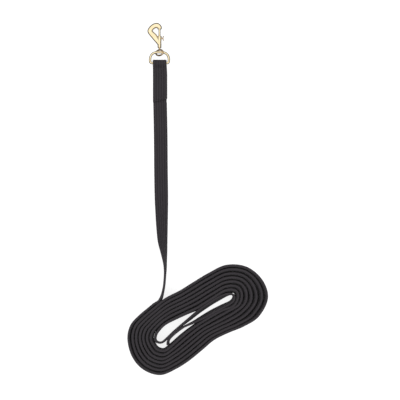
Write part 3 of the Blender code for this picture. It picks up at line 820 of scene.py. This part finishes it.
# %% Stitch tools
def add_stitches(bm, start, end, normal, length=0.0026, spacing=0.0031, thick=0.00030):
    """A row of stitches from one point to another, lying on a face with that normal."""
    way = end - start
    count = max(1, round(way.length / spacing))
    along = way.normalized()
    across = normal.cross(along).normalized()
    turn = Matrix((along, across, normal)).transposed().to_4x4()
    size = Matrix.Diagonal((length / 2, thick, thick * 0.8, 1))
    for i in range(count):
        middle = start + way * ((i + 0.5) / count)
        place = Matrix.Translation(middle) @ turn @ size
        bmesh.ops.create_uvsphere(bm, u_segments=6, v_segments=4, radius=1, matrix=place)


def flap_point(x, y, lift=0.0001):
    """A point on the flap's upper face, x from the strap's axis and y below the bar."""
    press = end_press(FLAP_END - y - FLAP_SLANT * x)
    height = flap_height(-y) + STRAP_THICKNESS * (press - 0.5) + lift
    return Vector((strap_x + x, bar.y - y, height))


UP = Vector((0, 0, 1))
print("flap at its first stitches:", [round(c, 4) for c in flap_point(0, 0.0085)])

# %% [markdown]
# The box is sewn first, then its two diagonals, as a sewing machine's bar pattern does.

# %% Box and cross below the ring
box_stitches = bmesh.new()
left, right, high, low = -0.0078, 0.0078, 0.0085, 0.0215
corners = [(left, high), (right, high), (right, low), (left, low)]
for a, b in zip(corners, corners[1:] + corners[:1]):
    add_stitches(box_stitches, flap_point(*a), flap_point(*b), UP)
add_stitches(box_stitches, flap_point(left, high), flap_point(right, low), UP)
add_stitches(box_stitches, flap_point(right, high), flap_point(left, low), UP)
ring_sewing = make_object("ring_sewing", box_stitches, thread, "webbing")
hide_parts("ring_tack")
print("ring sewing faces:", len(ring_sewing.data.polygons))

# %% [markdown]
# The rows at the slanted end keep its slant, so each one's ends are worked out from it.

# %% Rows along the slanted end
FIRST_ROW = 0.0016  # from the flap's end
ROW_SPACING = 0.0020
row_stitches = bmesh.new()
for row in range(3):
    y = FLAP_END - FIRST_ROW - row * ROW_SPACING
    a = flap_point(left, y - FLAP_SLANT * left)
    b = flap_point(right, y - FLAP_SLANT * right)
    add_stitches(row_stitches, a, b, UP)
end_sewing = make_object("end_sewing", row_stitches, thread, "webbing")
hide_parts("end_tack")
print("end sewing faces:", len(end_sewing.data.polygons))

# %% [markdown]
# The hand loop's neck is sewn through both strands. Its stitches show on the face that looks
# into the coil's hollow, and they follow the strap there.

# %% Hand loop sewing
SEWN_HALF = 0.0060  # half the length of the sewn patch
SEWN_HEIGHTS = (0.004, 0.008, 0.012, 0.016)
loop_stitches = bmesh.new()
first = to_frame(*LOOP_ROUTE[6])
last = to_frame(*LOOP_ROUTE[7])
way = (last - first).normalized()
outwards = Vector((-way.y, way.x, 0))
neck = (first + last) / 2 + outwards * (STRAP_THICKNESS / 2 + 0.0001)
for height in SEWN_HEIGHTS:
    a = neck - way * SEWN_HALF + UP * height
    b = neck + way * SEWN_HALF + UP * height
    add_stitches(loop_stitches, a, b, outwards)
for end in (-SEWN_HALF, SEWN_HALF):
    a = neck + way * end + UP * SEWN_HEIGHTS[0]
    b = neck + way * end + UP * SEWN_HEIGHTS[-1]
    add_stitches(loop_stitches, a, b, outwards)
loop_sewing = make_object("hand_loop_sewing", loop_stitches, thread, "webbing")
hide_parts("hand_loop_tack")
print("hand loop sewing faces:", len(loop_sewing.data.polygons))

# %% [markdown]
# ## Hardware
#
# The solids of the ring and snap have the right shape but hard facets. A merged copy of each is
# softened: the cast snap, eye, bolt and stud are remeshed finely and relaxed, which rounds their
# corners as tumbling does, the ring's wire gets one subdivision, and the spring is only merged.


# %% Soft copies of the hardware
def merged_copy(node):
    """A bmesh of a node with its loose triangles merged."""
    bm = bmesh.new()
    bm.from_mesh(frame["nodes"][node].data)
    bmesh.ops.remove_doubles(bm, verts=bm.verts, dist=1e-6)
    bmesh.ops.join_triangles(
        bm, faces=bm.faces, angle_face_threshold=math.radians(12), angle_shape_threshold=math.pi
    )
    return bm


def finish_hardware(name, node, body, material, voxel=None, relaxing=6, subdivide=0):
    """Makes the soft copy of a node and lets it stand for that node."""
    piece = make_object(name, merged_copy(node), material, body)
    if voxel:
        remesh = piece.modifiers.new("cast skin", "REMESH")
        remesh.mode = "VOXEL"
        remesh.voxel_size = voxel
        remesh.use_smooth_shade = True
        relax = piece.modifiers.new("tumbled corners", "SMOOTH")
        relax.factor = 0.5
        relax.iterations = relaxing
        lighter = piece.modifiers.new("fewer faces", "DECIMATE")
        lighter.ratio = 0.45
    if subdivide:
        smooth = piece.modifiers.new("round", "SUBSURF")
        smooth.levels = smooth.render_levels = subdivide
    if piece.modifiers:
        graph = bpy.context.evaluated_depsgraph_get()
        made = bpy.data.meshes.new_from_object(piece.evaluated_get(graph))
        piece.modifiers.clear()
        piece.data = made
        made.materials.clear()
        made.materials.append(material)
        made.shade_smooth()
    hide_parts(node)
    print(name, "faces:", len(piece.data.polygons))
    return piece


finish_hardware("ring_wire", "d_ring", "ring", brass, subdivide=1)
finish_hardware("eye_wire", "swivel_eye", "eye", rubbed, voxel=0.00014)
finish_hardware("snap_casting", "snap_body", "snap", brass, voxel=0.00017)
finish_hardware("bolt_rod", "bolt", "bolt", brass, voxel=0.00012, relaxing=3)
finish_hardware(
    "thumb_saddle", "thumb_stud", "bolt", rubbed, voxel=0.00010, relaxing=2
)
spring = finish_hardware("spring_coil", "bolt_spring", "snap", steel)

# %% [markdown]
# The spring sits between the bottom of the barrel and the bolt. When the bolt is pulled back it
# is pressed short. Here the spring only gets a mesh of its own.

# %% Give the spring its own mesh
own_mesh(spring)
